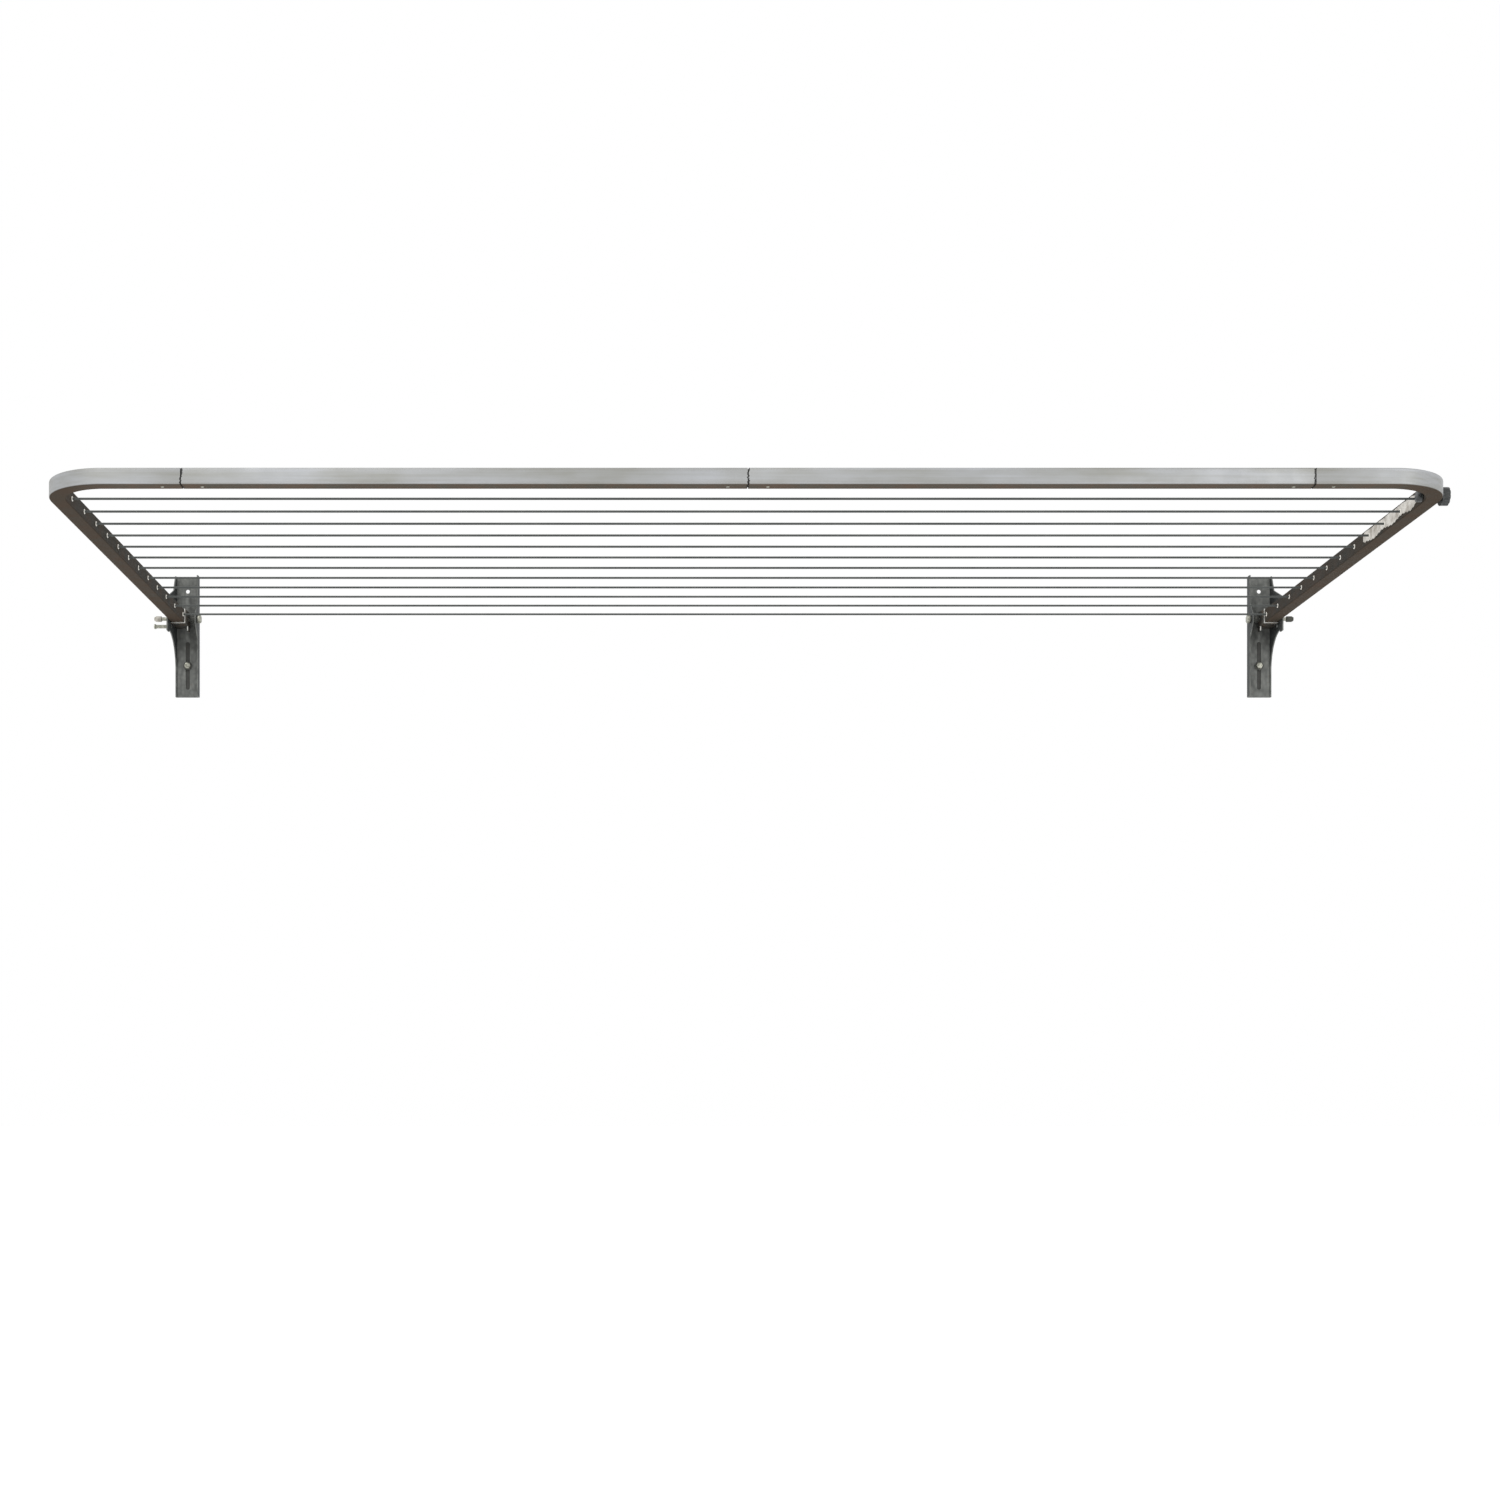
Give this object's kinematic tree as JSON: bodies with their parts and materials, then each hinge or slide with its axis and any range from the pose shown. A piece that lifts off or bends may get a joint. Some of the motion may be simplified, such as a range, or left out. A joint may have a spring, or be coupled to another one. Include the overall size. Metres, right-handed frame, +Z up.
{
  "type": "wall mounted fold down drying rack",
  "caption": "Wide wall mounted drying rack: a round-cornered square tube frame strung with straight lines, hinged on two folded steel brackets so that it folds down to the wall.",
  "frame": {"origin": "midway between the two upper wall holes, on the wall's face", "axes": "+X along the wall, +Y into the wall, +Z up"},
  "size_m": [2.584, 1.265, 0.275],
  "materials": {
    "galvanised_tube": "weathered galvanised",
    "galvanised_bracket": "dull galvanised",
    "zinc_hardware": "zinc plated",
    "line_cover": "matte",
    "pale_plastic": "matte",
    "black_plastic": "satin"
  },
  "bodies": {
    "wall_brackets": {"wall_bracket_right": "galvanised_bracket", "wall_bracket_left": "galvanised_bracket", "pivot_bolts": "zinc_hardware", "pivot_washers": "zinc_hardware", "pivot_nuts": "zinc_hardware", "spacer_sleeves": "zinc_hardware", "bolt_end_caps": "pale_plastic", "wall_bolts": "zinc_hardware", "wall_washers": "zinc_hardware"},
    "frame": {"right_arm": "galvanised_tube", "left_arm": "galvanised_tube", "front_rail_right": "galvanised_tube", "front_rail_left": "galvanised_tube", "joint_sleeve_centre": "galvanised_tube", "joint_sleeve_right": "galvanised_tube", "joint_sleeve_left": "galvanised_tube", "rail_rivets": "zinc_hardware", "pivot_shoe_right": "zinc_hardware", "pivot_shoe_left": "zinc_hardware", "pivot_bushes": "pale_plastic", "arm_end_plugs": "black_plastic", "drying_lines": "line_cover", "eyelets_right": "pale_plastic", "eyelets_left": "pale_plastic", "line_turns_left": "line_cover", "line_turns_right": "line_cover", "line_end_stop": "zinc_hardware"},
    "tensioner": {"tension_spindle": "zinc_hardware", "tension_knob": "black_plastic", "tension_inner_cap": "black_plastic"},
    "lock_pin": {"lock_pin": "zinc_hardware"}
  },
  "joints": [
    {"name": "frame_fold", "type": "hinge", "parent": "wall_brackets", "child": "frame", "pos_m": [0, -0.036, -0.07], "axis": [1, 0, 0], "range_deg": [0, 90]},
    {"name": "tension_turn", "type": "hinge", "parent": "frame", "child": "tensioner", "pos_m": [1.235, -1.1, -0.074], "axis": [1, 0, 0], "continuous": true},
    {"name": "lock_pin_slide", "type": "slide", "parent": "wall_brackets", "child": "lock_pin", "axis": [1, 0, 0], "range_m": [0, 0.028]}
  ]
}
